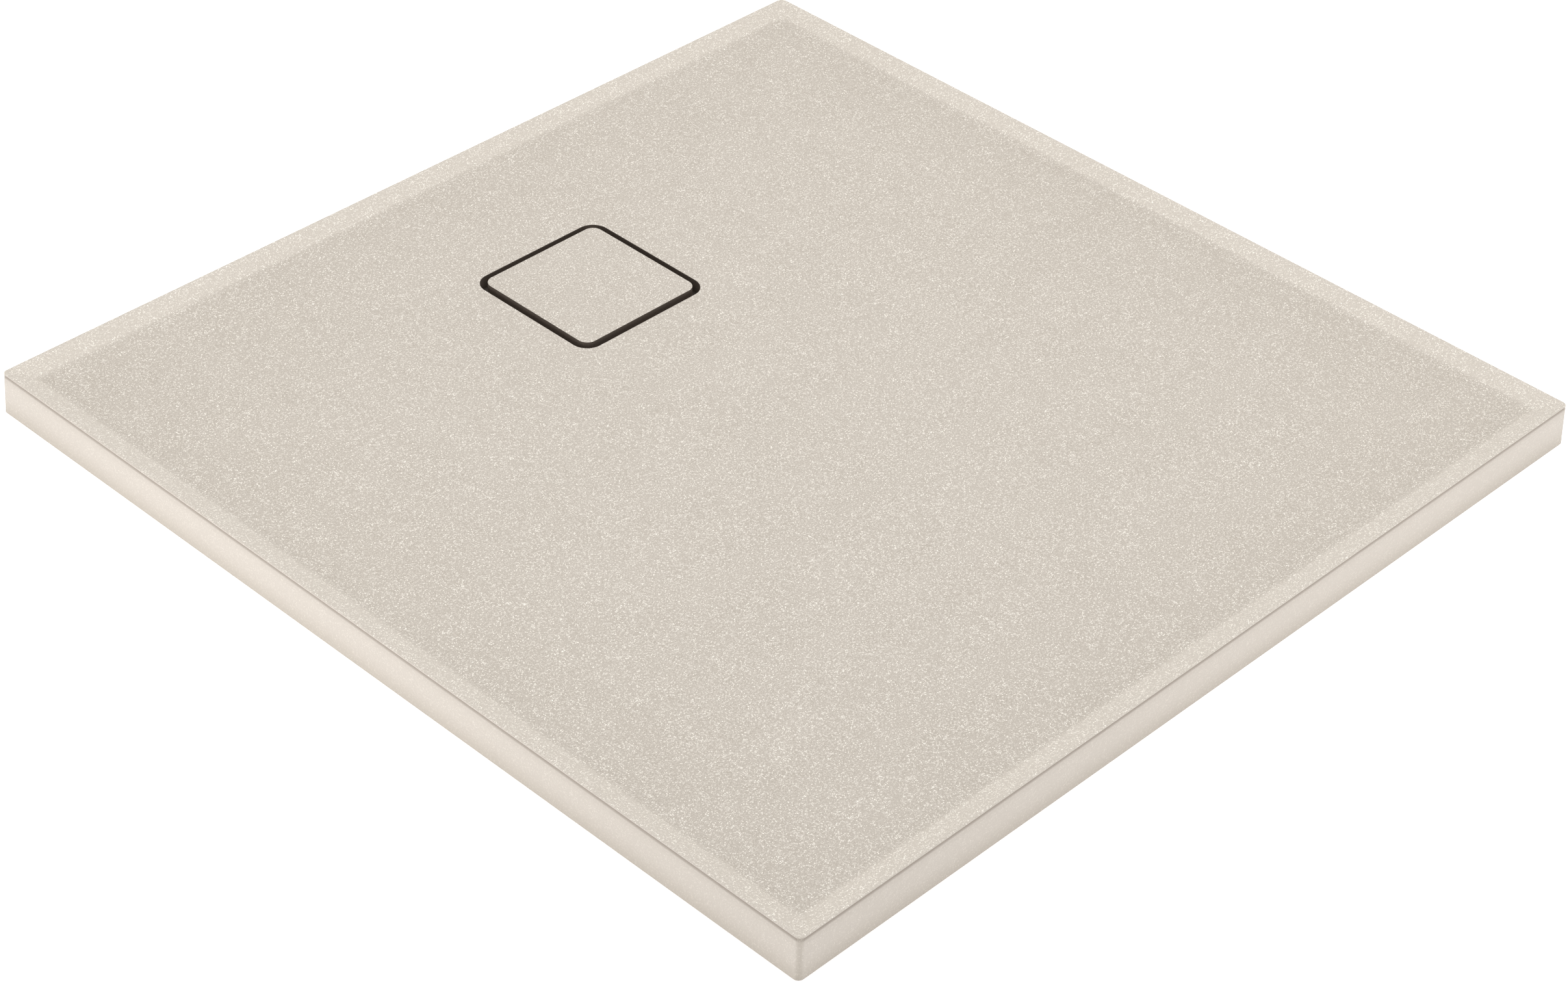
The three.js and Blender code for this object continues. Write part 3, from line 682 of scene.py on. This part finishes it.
class SHOWERTRAY_OT_tray(bpy.types.Operator):
    """Cast the tray: drafted sides, parting groove, sloping rim, four-way floor, recess and waste hole"""
    bl_idname = "showertray.tray"
    bl_label = "Shower Tray"

    def execute(self, context):
        sizes = context.scene.shower_sizes
        half = TRAY_HIGH.x
        top = TRAY_HIGH.z
        crest = half - sizes.side_draft
        piece = add_rounded_face(
            2 * half, sizes.corner_radius, sizes.corner_steps, Vector(), 0, "tray_casting")

        for low, high in self.outer_steps(sizes, half, top, crest):
            raise_face(high[1] - low[1], (high[0] / low[0],) * 2)
        self.open_recess(sizes, self.sink_rim(sizes, top, crest))
        self.open_waste_hole(sizes)
        close_up()
        self.soften(sizes, piece)
        smooth_piece(piece)
        self.paint(sizes, piece)
        return {"FINISHED"}

    @staticmethod
    def outer_steps(sizes, half, top, crest):
        """Pairs of (half width, height) going up the outside, from the underside to the crest."""
        groove = crest - sizes.groove_depth
        lip_foot = top - sizes.lip_height
        steps = [
            (half, 0),
            (crest, lip_foot - sizes.groove_height),
            (groove, lip_foot - 0.4 * sizes.groove_height),
            (groove, lip_foot),
            (crest, lip_foot),
        ]
        round_steps = 4
        for step in range(round_steps + 1):
            angle = step / round_steps * math.pi / 2
            steps.append((
                crest - sizes.lip_radius * (1 - math.cos(angle)),
                top - sizes.lip_radius * (1 - math.sin(angle))))
        steps.append((crest - sizes.crest_width, top))
        return list(zip(steps, steps[1:]))

    @staticmethod
    def sink_rim(sizes, top, crest):
        """Takes the face at the crest down the rim and through the soft turn, to the height returned."""
        crest_half = crest - sizes.crest_width
        foot_half = crest - sizes.rim_width
        slope = sizes.rim_fall / (crest_half - foot_half)
        floor_z = top - sizes.rim_fall
        floor_slope = sizes.floor_fall / (foot_half - sizes.recess_radius) / 2
        blend = sizes.rim_blend
        start = (foot_half + blend, floor_z + blend * slope)
        end = (foot_half - blend, floor_z - blend * floor_slope)
        turn_steps = 6
        places = [(crest_half, top)]
        for step in range(turn_steps + 1):
            t = step / turn_steps
            places.append(tuple(
                (1 - t) ** 2 * a + 2 * t * (1 - t) * b + t ** 2 * c
                for a, b, c in zip(start, (foot_half, floor_z), end)))
        for (half, z), (next_half, next_z) in zip(places, places[1:]):
            raise_face(next_z - z, (next_half / half,) * 2)
        return places[-1][1]

    @staticmethod
    def open_recess(sizes, edge_z):
        """Joins the floor, from its edge at a height, to a square recess with rounded corners."""
        recess_half = COVER_HIGH.x - DRAIN.x + sizes.slot_width
        mouth_z = COVER_HIGH.z - sizes.cover_step
        bpy.ops.mesh.delete(type="ONLY_FACE")
        add_rounded_face(2 * recess_half, sizes.recess_radius, sizes.corner_steps, DRAIN, mouth_z)
        raise_face(FLANGE_HIGH.z - mouth_z)
        near = 1e-5
        select_where("faces", lambda face: (
            len(face.verts) > 4 and abs(face.calc_center_median().z - mouth_z) < near))
        bpy.ops.mesh.delete(type="ONLY_FACE")
        select_where("edges", lambda edge: (
            edge.is_boundary and (
                all(abs(v.co.z - mouth_z) < near for v in edge.verts)
                or all(abs(v.co.z - edge_z) < near for v in edge.verts))))
        bpy.ops.mesh.bridge_edge_loops()

    @staticmethod
    def open_waste_hole(sizes):
        """Lets the flange's seat into the recess and opens the hole down through the underside."""
        near = 1e-5
        recess_z = FLANGE_HIGH.z
        flange_radius = FLANGE_HIGH.x - DRAIN.x
        seat_radius = flange_radius + 1 * MM
        for z in (recess_z, 0):
            select_where("faces", lambda face: (
                len(face.verts) > 4 and abs(face.calc_center_median().z - z) < near))
            bpy.ops.mesh.delete(type="ONLY_FACE")
        count = 4 * (sizes.corner_steps + 1)
        bpy.ops.mesh.select_mode(type="EDGE")
        bpy.ops.mesh.select_all(action="DESELECT")
        bpy.ops.mesh.primitive_circle_add(
            vertices=count, radius=seat_radius, location=(DRAIN.x, DRAIN.y, recess_z))
        hole_scale = sizes.waste_hole_radius / seat_radius
        raise_face(-sizes.seat_depth)
        raise_face(0, (hole_scale,) * 2, DRAIN)
        raise_face(-(recess_z - sizes.seat_depth))
        for z in (recess_z, 0):
            select_where("edges", lambda edge: (
                edge.is_boundary and all(abs(v.co.z - z) < near for v in edge.verts)))
            bpy.ops.mesh.bridge_edge_loops()

    @staticmethod
    def soften(sizes, piece):
        """Rounds the sharp edges of the recess, the seat, the hole and the underside a little."""
        select_only(piece)
        bpy.ops.object.mode_set(mode="EDIT")
        groove_top = TRAY_HIGH.z - sizes.lip_height - 2 * sizes.groove_height
        select_where("edges", lambda edge: (
            not edge.is_boundary
            and edge.calc_face_angle(0) > math.radians(60)
            and max(v.co.z for v in edge.verts) < groove_top))
        bpy.ops.mesh.bevel(offset=sizes.edge_break, segments=3, affect="EDGES")
        bpy.ops.object.mode_set(mode="OBJECT")

    @staticmethod
    def paint(sizes, piece):
        """Gives the recess below its mouth the painted shade of the slot, and all else the cast skin."""
        hand_over(piece, finish(granite_composite), "tray", "shower_tray")
        piece.data.materials.append(finish(slot_painted_shade))
        recess_half = COVER_HIGH.x - DRAIN.x + sizes.slot_width
        mouth_z = COVER_HIGH.z - sizes.cover_step
        for face in piece.data.polygons:
            offset = face.center - DRAIN
            inside = max(abs(offset.x), abs(offset.y)) < recess_half + 0.1 * MM
            if inside and 0.1 * MM < face.center.z < mouth_z - 0.15 * MM:
                face.material_index = 1


class SHOWERTRAY_OT_cover(bpy.types.Operator):
    """Cast the square drain cover, with four sockets for its feet underneath"""
    bl_idname = "showertray.cover"
    bl_label = "Drain Cover"

    def execute(self, context):
        sizes = context.scene.shower_sizes
        size = COVER_HIGH.x - COVER_LOW.x
        piece = add_rounded_face(
            size, sizes.cover_radius, sizes.corner_steps, DRAIN, COVER_LOW.z, "cover_casting")
        raise_face(COVER_HIGH.z - COVER_LOW.z)
        close_up()
        apply_modifier(piece, "BEVEL", width=1.4 * sizes.edge_break, segments=3, limit_method="ANGLE",
                       angle_limit=math.radians(60))
        for number in range(1, 5):
            node = f"cover_pad_{number}"
            bpy.ops.object.select_all(action="DESELECT")
            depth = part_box(node)[1].z - COVER_LOW.z
            bpy.ops.mesh.primitive_cylinder_add(
                vertices=48, radius=7.3 * MM, depth=2 * depth,
                location=middle(node) + Vector((0, 0, COVER_LOW.z)))
            combine(piece, context.object)
        smooth_piece(piece)
        self.paint(piece)
        return {"FINISHED"}

    @staticmethod
    def paint(piece):
        """The top face and its round edge are cast skin; the sides and the back take the slot's painted
        shade.
        """
        hand_over(piece, finish(granite_composite), "cover", "drain_cover")
        piece.data.materials.append(finish(slot_painted_shade))
        for face in piece.data.polygons:
            if face.center.z < COVER_HIGH.z - 0.15 * MM:
                face.material_index = 1


class SHOWERTRAY_OT_cover_pads(bpy.types.Operator):
    """Mould the four rubber feet that the cover stands on, one in each of its sockets"""
    bl_idname = "showertray.cover_pads"
    bl_label = "Cover Pads"

    def execute(self, context):
        low, high, radius = reach("cover_pad_1")
        shank = radius - 0.6
        pad = turn_piece("pad_pattern", [
            (0, low + 0.7), (4.2, low + 0.7), (5.2, low), (radius, low), (radius, low + 0.8),
            (shank, low + 1.6), (shank, low + 2.6), (shank - 0.35, low + 2.9), (shank, low + 3.2),
            (shank, low + 4.0), (shank - 0.35, low + 4.3), (shank, low + 4.6), (shank, high), (0, high),
        ], steps=48, soften=0.25)
        smooth_piece(pad)
        for number in range(1, 5):
            node = f"cover_pad_{number}"
            foot = copy_to(pad, f"cover_foot_{number}", middle(node))
            hand_over(foot, finish(moulded_rubber), "cover", node)
        bpy.data.objects.remove(pad)
        return {"FINISHED"}


class SHOWERTRAY_OT_strainer(bpy.types.Operator):
    """Press the hair strainer: a dished sieve plate on a skirt, with a knob to lift it by"""
    bl_idname = "showertray.strainer"
    bl_label = "Hair Strainer"

    def execute(self, context):
        low, high, radius = reach("hair_strainer")
        knob_height, knob_radius, sheet, dish = 3.0, 5.0, 2.0, 0.5
        plate = high - knob_height
        strainer = turn_piece("strainer_plate", [
            (0, plate - sheet), (radius - sheet - 1.2, plate - sheet),
            (radius - sheet, plate - sheet - 1.2), (radius - sheet, low), (radius, low),
            (radius, plate - 1.2), (radius - 1.2, plate),
            (radius - 3.2, plate), (radius - 4.2, plate - dish), (knob_radius + 1, plate - dish),
            (0.55 * knob_radius, plate), (0.6 * knob_radius, plate + 1.4), (knob_radius, plate + 2.0),
            (knob_radius, high - 0.4), (knob_radius - 0.9, high), (0.5 * knob_radius, high - 0.5),
            (0, high - 0.8),
        ], steps=128, soften=0.35)
        combine(strainer, self.drill(plate, sheet, dish, radius, knob_radius))
        install(strainer, brushed_stainless, "strainer", "stainless_steel", "hair_strainer")
        return {"FINISHED"}

    @staticmethod
    def drill(plate, sheet, dish, radius, knob_radius):
        """The tool for three rings of holes, which breaks their upper edges."""
        hole, pitch, margin, rows = 2.5, 8.0, 1.5, 3
        bit = turn_piece("bit", [
            (0, plate - sheet - 1), (hole, plate - sheet - 1), (hole, plate - dish - 0.25),
            (hole + 0.35, plate - dish + 0.1), (hole + 0.35, plate + 1), (0, plate + 1),
        ], steps=24, soften=0)
        first = knob_radius + pitch - margin
        last = radius - sheet - hole - margin
        places = []
        for row in range(rows):
            ring = first + row / (rows - 1) * (last - first)
            places += around(2 * round(math.pi * ring / pitch), ring)
        return copies_joined(bit, places)


class SHOWERTRAY_OT_dip_tube(bpy.types.Operator):
    """Mould the removable dip tube with its pot, pull bar and centring fins"""
    bl_idname = "showertray.dip_tube"
    bl_label = "Dip Tube"

    def execute(self, context):
        low, high, radius = reach("dip_tube")
        ledge = high - 7
        tube, wall, groove = 21.8, 2.0, 2.3
        bore = tube - wall
        piece = turn_piece("dip_tube_moulding", [
            (bore, low), (tube, low), (tube, ledge), (radius, ledge), (radius, ledge + 2.2),
            (radius - groove, ledge + 2.2), (radius - groove, ledge + 4.8), (radius, ledge + 4.8),
            (radius, high), (radius - 3.2, high), (radius - 3.2, ledge + 3.5), (bore + 2, ledge + 2),
            (bore, ledge + 0.5), (bore, low)], soften=0.35)
        inside = radius - 2.75
        combine(piece, block("bar", (-inside, -2, high - 3), (inside, 2, high), 0.8), "UNION")
        fins, fin_low, fin_high, fin_reach = 3, low + 4, low + 24, 28.2
        for fin in range(fins):
            tool = block("fin", (tube - 1, -1, fin_low), (fin_reach, 1, fin_high), 0.5)
            tool.rotation_euler.z = (fin + 0.25) / fins * 2 * math.pi
            set_down(tool, (0, 0, 0))
            combine(piece, tool, "UNION")
        install(piece, moulded_polypropylene, "insert", "polypropylene", "dip_tube")
        return {"FINISHED"}


class SHOWERTRAY_OT_tube_seal(bpy.types.Operator):
    """Mould the ring seal in the dip tube's groove, with the flash line of its mould"""
    bl_idname = "showertray.tube_seal"
    bl_label = "Dip Tube Seal"

    def execute(self, context):
        low, high, radius = reach("dip_tube_seal")
        section = (high - low) / 2
        points = 24
        profile = []
        for point in range(points):
            angle = point / points * 2 * math.pi
            flash = 0.0 if point % (points // 2) else 0.03
            profile.append((
                radius - section + (section - 0.03 + flash) * math.cos(angle),
                (low + high) / 2 + section * math.sin(angle)))
        ring = turn_piece("ring_seal", profile + profile[:1], soften=0)
        install(ring, moulded_rubber, "insert", "black_rubber", "dip_tube_seal")
        return {"FINISHED"}


class SHOWERTRAY_OT_trap_cup(bpy.types.Operator):
    """Mould the cup that holds the water seal, with a beaded lip"""
    bl_idname = "showertray.trap_cup"
    bl_label = "Trap Cup"

    def execute(self, context):
        low, high, radius = reach("trap_cup")
        wall = 2.0
        bead = 2.2
        cup = turn_piece("trap_cup_moulding", [
            (0, low + 0.6), (radius - 8, low + 0.6), (radius - 7, low), (radius - 2.5, low),
            (radius - 0.3, low + 2.5), (radius - 0.3, high - bead - 0.6), (radius, high - bead),
            (radius, high), (radius - wall, high), (radius - wall, low + wall + 2.5),
            (radius - wall - 2.5, low + wall), (0, low + wall)], soften=0.8)
        install(cup, moulded_polypropylene, "insert", "polypropylene", "trap_cup")
        return {"FINISHED"}


class SHOWERTRAY_OT_waste_flange(bpy.types.Operator):
    """Mould the flange that clamps the waste into the recess, with four countersunk holes"""
    bl_idname = "showertray.waste_flange"
    bl_label = "Waste Flange"

    def execute(self, context):
        low, high, radius = reach("waste_flange")
        neck, throat, ledge, lap = 43.5, 34.5, 31.5, 2.2
        flange = turn_piece("waste_flange_moulding", [
            (ledge, low), (neck, low), (neck, high - lap), (radius, high - lap), (radius, high - 0.8),
            (radius - 2.5, high), (throat + 1, high), (throat, high - 1), (throat, low + 2.5),
            (ledge, low + 2.5), (ledge, low)], steps=128, soften=0.3)
        head, shank, sink = 4.1, 2.3, 2.2
        bit = turn_piece("bit", [
            (0, low - 1), (shank, low - 1), (shank, high - sink), (head, high), (head, high + 1),
            (0, high + 1)], steps=32, soften=0)
        places = [middle(f"flange_screw_{number}") - DRAIN for number in range(1, 5)]
        combine(flange, copies_joined(bit, places))
        install(flange, moulded_polypropylene, "tray", "polypropylene", "waste_flange")
        return {"FINISHED"}


class SHOWERTRAY_OT_flange_screws(bpy.types.Operator):
    """Turn the four countersunk screws, with thread rings and a hexagon socket"""
    bl_idname = "showertray.flange_screws"
    bl_label = "Flange Screws"

    def execute(self, context):
        low, high, head = reach("flange_screw_1")
        shank, tip, grip = 2.0, 1.4, 12.5
        thread = thread_profile(shank, 0.35, 0.9, low + 0.8, low + grip)
        screw = turn_piece("screw_pattern", [
            (0, low), (tip, low), *thread, (shank, high - 2.2), (head, high - 0.25),
            (head, high), (0, high),
        ], steps=32, soften=0.08)
        bpy.ops.object.select_all(action="DESELECT")
        socket, depth = 1.25, 1.4
        bpy.ops.mesh.primitive_cylinder_add(
            vertices=6, radius=socket * MM, depth=2 * depth * MM, location=(0, 0, high * MM))
        combine(screw, context.object)
        smooth_piece(screw)
        for number in range(1, 5):
            node = f"flange_screw_{number}"
            copy = copy_to(screw, f"countersunk_screw_{number}", middle(node))
            hand_over(copy, finish(brushed_stainless), "tray", node)
        bpy.data.objects.remove(screw)
        return {"FINISHED"}


class SHOWERTRAY_OT_gaskets(bpy.types.Operator):
    """Mould the two flat gaskets, with sealing ribs on both faces"""
    bl_idname = "showertray.gaskets"
    bl_label = "Gaskets"

    def execute(self, context):
        inner = 46.0
        for node in ("upper_gasket", "lower_gasket"):
            low, high, outer = reach(node)
            rib, ribs = 0.25, 3
            pitch = (outer - inner) / (2 * ribs + 1)
            under = [(inner + step * pitch, low + (0 if step % 4 in (1, 2) else rib))
                     for step in range(2 * ribs + 2)]
            over = [(r, high - (z - low)) for r, z in reversed(under)]
            gasket = turn_piece(node + "_moulding", under + over + under[:1], soften=0.15)
            install(gasket, moulded_rubber, "tray", "black_rubber", node)
        return {"FINISHED"}


class SHOWERTRAY_OT_trap_body(bpy.types.Operator):
    """Mould the trap body: a flanged pot with four screw bosses and a threaded outlet"""
    bl_idname = "showertray.trap_body"
    bl_label = "Trap Body"

    def execute(self, context):
        low, high, radius = reach("trap_body")
        inner, wall, flange = 43.8, 3.0, 3.5
        outer = inner + wall
        piece = turn_piece("trap_body_moulding", [
            (0, low), (outer - 4, low), (outer, low + 4), (outer, high - flange), (radius, high - flange),
            (radius, high), (0, high)], steps=128, soften=0.4)
        self.add_outlet(piece, outer)
        hollow = turn_piece("hollow", [
            (0, low + wall), (inner - 1, low + wall), (inner, low + wall + 1), (inner, high + 1),
            (0, high + 1)], steps=128, soften=0)
        combine(piece, hollow)
        self.bore_outlet(piece, inner)
        self.add_bosses(piece, high)
        install(piece, moulded_polypropylene, "tray", "polypropylene", "trap_body")
        return {"FINISHED"}

    @staticmethod
    def outlet_axis():
        """The outlet's axis: its height, in metres, and how far it reaches from the drain's axis."""
        nut_low, nut_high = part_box("outlet_nut")
        return Vector((0, 0, (nut_low.z + nut_high.z) / 2)), (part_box("trap_body")[1].y - DRAIN.y) / MM

    def add_outlet(self, piece, outer):
        """Adds the outlet towards +Y, threaded at its end."""
        axis, end = self.outlet_axis()
        start, crest, depth = outer - 13, 23.3, 0.9
        thread = thread_profile(crest, depth, 2.6, end - 20, end - 1)
        pipe = turn_piece("outlet", [
            (0, start), (crest - depth, start), (crest - depth, end - 21), *thread,
            (crest - 1, end), (0, end),
        ], steps=96, soften=0.15)
        set_down(pipe, axis, -math.pi / 2)
        combine(piece, pipe, "UNION")

    def bore_outlet(self, piece, inner):
        """Bores the outlet through the wall, with a socket for the pipe at its end."""
        axis, end = self.outlet_axis()
        bore, socket, depth = 18.0, 20.3, 24.0
        bit = turn_piece("bore", [
            (0, inner - 13), (bore, inner - 13), (bore, end - depth), (socket, end - depth),
            (socket, end - 2), (socket + 2, end), (socket + 2, end + 2), (0, end + 2),
        ], steps=90, soften=0)
        set_down(bit, axis, -math.pi / 2)
        combine(piece, bit)

    @staticmethod
    def add_bosses(piece, high):
        """Adds the four bosses that take the flange screws."""
        top, length, radius, pilot = high - 6.3, 16.0, 4.8, 2.3
        places = [middle(f"flange_screw_{number}") - DRAIN for number in range(1, 5)]
        boss = turn_piece("boss", [
            (0, top - length), (radius, top - length), (radius, top), (0, top)], steps=32, soften=0.5)
        combine(piece, copies_joined(boss, places), "UNION")
        bit = turn_piece("bit", [
            (0, top - length + 1), (pilot, top - length + 1), (pilot, top + 1), (0, top + 1)],
            steps=32, soften=0)
        combine(piece, copies_joined(bit, places))


class SHOWERTRAY_OT_outlet_coupling(bpy.types.Operator):
    """Mould the ribbed outlet nut, its tapered seal and the washer between them"""
    bl_idname = "showertray.outlet_coupling"
    bl_label = "Outlet Coupling"

    def execute(self, context):
        nut_low, nut_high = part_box("outlet_nut")
        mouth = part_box("trap_body")[1].y
        along = Vector((DRAIN.x, mouth, (nut_low.z + nut_high.z) / 2)), -math.pi / 2
        start, end = (nut_low.y - mouth) / MM, (nut_high.y - mouth) / MM
        bore, eye, lip = 23.6, 20.6, 2.3
        nut = self.shape_nut(start, end, bore, eye, lip)
        install(nut, moulded_polypropylene, "tray", "polypropylene", "outlet_nut", *along)

        seal_outer, nose, back = 22.9, -0.8, 5.0
        seal = turn_piece("outlet_seal_moulding", [
            (eye, nose), (eye + 0.3, nose), (seal_outer, 1.2), (seal_outer, back),
            (eye, back), (eye, nose),
        ], soften=0.25)
        install(seal, moulded_rubber, "tray", "black_rubber", "outlet_seal", *along)

        washer_low, washer_high = back + 0.3, back + 1.4
        washer = turn_piece("outlet_washer_moulding", [
            (eye + 0.1, washer_low), (bore - 0.4, washer_low), (bore - 0.4, washer_high),
            (eye + 0.1, washer_high), (eye + 0.1, washer_low)], soften=0.25)
        install(washer, moulded_nylon, "tray", "white_nylon", "outlet_washer", *along)
        return {"FINISHED"}

    @staticmethod
    def shape_nut(start, end, bore, eye, lip):
        """The nut: threaded inside, with twelve grip ribs raised from its outside."""
        ribs, columns, rib_height, wall = 12, 8, 0.8, 4.4
        outer = bore + wall
        thread = thread_profile(bore + 0.8, 0.8, 2.6, start + 1, end - lip - 3)
        nut = turn_piece("outlet_nut_moulding", [
            (outer, start), (outer, end), (eye, end), (eye, end - lip), (bore, end - lip),
            *reversed(thread), (bore + 0.8, start), (outer, start)], steps=ribs * columns, soften=0.2)
        select_only(nut)
        bpy.ops.object.mode_set(mode="EDIT")

        def on_rib(face):
            centre = face.calc_center_median()
            turn = math.atan2(centre.y, centre.x) / (2 * math.pi) * ribs
            outside = centre.xy.length > (outer - 0.05) * MM and abs(face.normal.z) < 0.1
            return outside and turn % 1 < 0.5
        select_where("faces", on_rib)
        bpy.ops.mesh.inset(thickness=0.5 * MM)
        bpy.ops.transform.shrink_fatten(value=rib_height * MM)
        bpy.ops.object.mode_set(mode="OBJECT")
        return nut


class SHOWERTRAY_PT_panel(bpy.types.Panel):
    """The builder's panel in the 3D view's sidebar"""
    bl_idname = "SHOWERTRAY_PT_panel"
    bl_label = "Shower Tray"
    bl_space_type = "VIEW_3D"
    bl_region_type = "UI"
    bl_category = "Shower Tray"

    def draw(self, context):
        layout = self.layout
        for group in (getattr(context.scene, name) for name in PROPERTY_GROUPS):
            box = layout.box()
            for name in group.bl_rna.properties.keys():
                if name not in ("rna_type", "name"):
                    box.prop(group, name)
        for operator in OPERATORS:
            layout.operator(operator.bl_idname)


PROPERTY_GROUPS = {
    "shower_sizes": TraySizes,
    "shower_colours": FinishColours,
    "shower_stage": StageSettings,
}
OPERATORS = (
    SHOWERTRAY_OT_stage,
    SHOWERTRAY_OT_tray,
    SHOWERTRAY_OT_cover,
    SHOWERTRAY_OT_cover_pads,
    SHOWERTRAY_OT_strainer,
    SHOWERTRAY_OT_dip_tube,
    SHOWERTRAY_OT_tube_seal,
    SHOWERTRAY_OT_trap_cup,
    SHOWERTRAY_OT_waste_flange,
    SHOWERTRAY_OT_flange_screws,
    SHOWERTRAY_OT_gaskets,
    SHOWERTRAY_OT_trap_body,
    SHOWERTRAY_OT_outlet_coupling,
)
CLASSES = (*PROPERTY_GROUPS.values(), *OPERATORS, SHOWERTRAY_PT_panel)


def register():
    for cls in CLASSES:
        bpy.utils.register_class(cls)
    for name, group in PROPERTY_GROUPS.items():
        setattr(bpy.types.Scene, name, PointerProperty(type=group))


def unregister():
    for name in PROPERTY_GROUPS:
        delattr(bpy.types.Scene, name)
    for cls in reversed(CLASSES):
        bpy.utils.unregister_class(cls)


def main():
    register()
    for operator in OPERATORS:
        category, name = operator.bl_idname.split(".")
        getattr(getattr(bpy.ops, category), name)()


if __name__ == "__main__":
    main()
